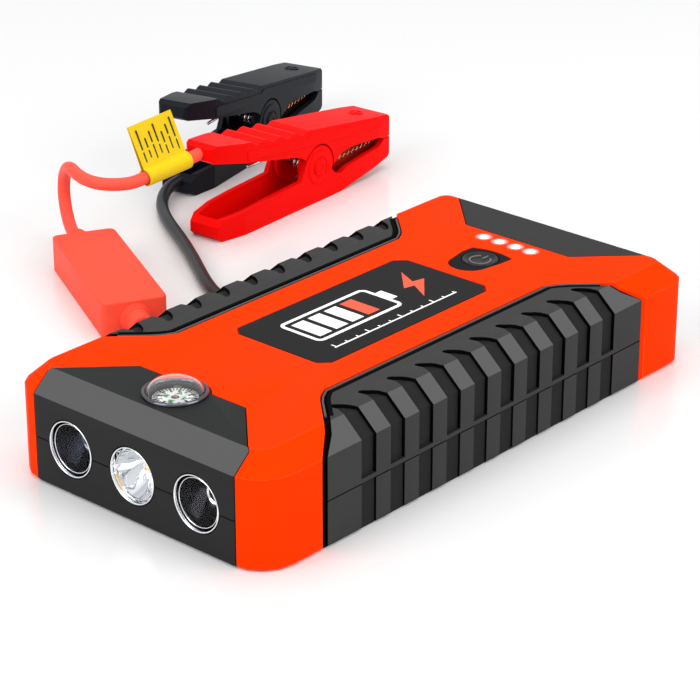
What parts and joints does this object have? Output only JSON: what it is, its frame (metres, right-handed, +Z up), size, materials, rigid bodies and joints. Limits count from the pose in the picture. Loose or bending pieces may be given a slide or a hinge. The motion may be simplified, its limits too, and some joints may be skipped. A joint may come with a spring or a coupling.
{
  "type": "jump starter pack",
  "caption": "Flat chamfered jump starter pack with ribbed side grips, front lamps, a top compass and button, rear sockets, and a loose lead set with spring clamps.",
  "frame": {"origin": "centre of the case's flat underside, on the surface it stands on", "axes": "+X from the lamps to the sockets, +Y from the case towards the lead set behind it, +Z up"},
  "size_m": [0.2601, 0.2297, 0.0443],
  "materials": {
    "orange_plastic": "satin moulded orange",
    "dark_plastic": "matt dark grey moulded",
    "grip_rubber": "matt charcoal rubbery grip",
    "badge_film": null,
    "button_rubber": "satin black rubber",
    "light_pipe": "frosted clear, lit white",
    "clear_plastic": "clear polished plastic",
    "chrome": "bright vacuum-metallised",
    "card_white": "white printed card",
    "board_green": "green circuit board",
    "cell_foil": "satin pouch foil",
    "steel": "plated steel",
    "socket_nylon": "matt black nylon",
    "plug_blue": "matt blue nylon",
    "brass": "bright brass",
    "clamp_red": "glossy red",
    "clamp_black": "glossy blue-black",
    "lead_red": "satin coral-red silicone",
    "lead_black": "satin black silicone",
    "tag_yellow": "satin yellow film",
    "copper": "bright copper plate"
  },
  "bodies": {
    "pack": {"upper_case": "orange_plastic", "lower_case": "orange_plastic", "case_screw_1": "steel", "case_screw_2": "steel", "case_screw_3": "steel", "case_screw_4": "steel", "button_switch": "steel", "usb_socket_1": "steel", "usb_socket_2": "steel", "charge_socket": "steel", "red_rivet": "steel", "black_rivet": "steel", "red_spring": "steel", "black_spring": "steel", "right_grip_upper": "grip_rubber", "right_grip_lower": "grip_rubber", "left_grip_upper": "grip_rubber", "left_grip_lower": "grip_rubber", "front_panel_upper": "dark_plastic", "front_panel_lower": "dark_plastic", "rear_panel": "dark_plastic", "compass_bowl": "dark_plastic", "left_lamp_reflector": "chrome", "middle_lamp_reflector": "chrome", "right_lamp_reflector": "chrome", "left_lamp_lens": "clear_plastic", "middle_lamp_lens": "clear_plastic", "right_lamp_lens": "clear_plastic", "compass_dome": "clear_plastic", "lamp_board": "board_green", "main_circuit_board": "board_green", "protection_board": "board_green", "badge_plate": "badge_film", "button_surround": "button_rubber", "charge_light_bar": "light_pipe", "battery_cell_1": "cell_foil", "battery_cell_2": "cell_foil", "battery_cell_3": "cell_foil", "jump_socket": "socket_nylon", "plug_body": "plug_blue", "plug_pin_1": "brass", "plug_pin_2": "brass", "red_lower_lever": "clamp_red", "black_lower_lever": "clamp_black", "red_lower_jaw": "copper", "black_lower_jaw": "copper", "red_lead_plug_side": "lead_red", "red_lead_clamp_side": "lead_red", "protection_box_upper": "lead_red", "protection_box_lower": "lead_red", "black_lead": "lead_black", "lead_tag": "tag_yellow"},
    "power_button_body": {"power_button": "button_rubber"},
    "compass_card_body": {"compass_card": "card_white"},
    "socket_cover_body": {"socket_cover": "button_rubber"},
    "red_lever_body": {"red_upper_lever": "clamp_red", "red_upper_jaw": "copper"},
    "black_lever_body": {"black_upper_lever": "clamp_black", "black_upper_jaw": "copper"}
  },
  "joints": [
    {"name": "power_button_press", "type": "slide", "parent": "pack", "child": "power_button_body", "axis": [0, 0, -1], "range_m": [0, 0.0006], "stiffness_N_per_m": 1500, "springref_m": -0.0004},
    {"name": "compass_card_turn", "type": "hinge", "parent": "pack", "child": "compass_card_body", "pos_m": [-0.0714, 0.0002, 0.0285], "axis": [0, 0, 1], "continuous": true},
    {"name": "socket_cover_hinge", "type": "hinge", "parent": "pack", "child": "socket_cover_body", "pos_m": [0.0889, -0.023, 0.0216], "axis": [0, -1, 0], "range_deg": [0, 120]},
    {"name": "red_clamp_squeeze", "type": "hinge", "parent": "pack", "child": "red_lever_body", "pos_m": [0.11, 0.1246, 0.012], "axis": [0.0698, -0.9976, 0], "range_deg": [0, 18], "stiffness_Nm_per_rad": 1.2, "springref_deg": -34.38},
    {"name": "black_clamp_squeeze", "type": "hinge", "parent": "pack", "child": "black_lever_body", "pos_m": [0.1315, 0.1679, 0.012], "axis": [0.2419, -0.9703, 0], "range_deg": [0, 18], "stiffness_Nm_per_rad": 1.2, "springref_deg": -34.38}
  ]
}
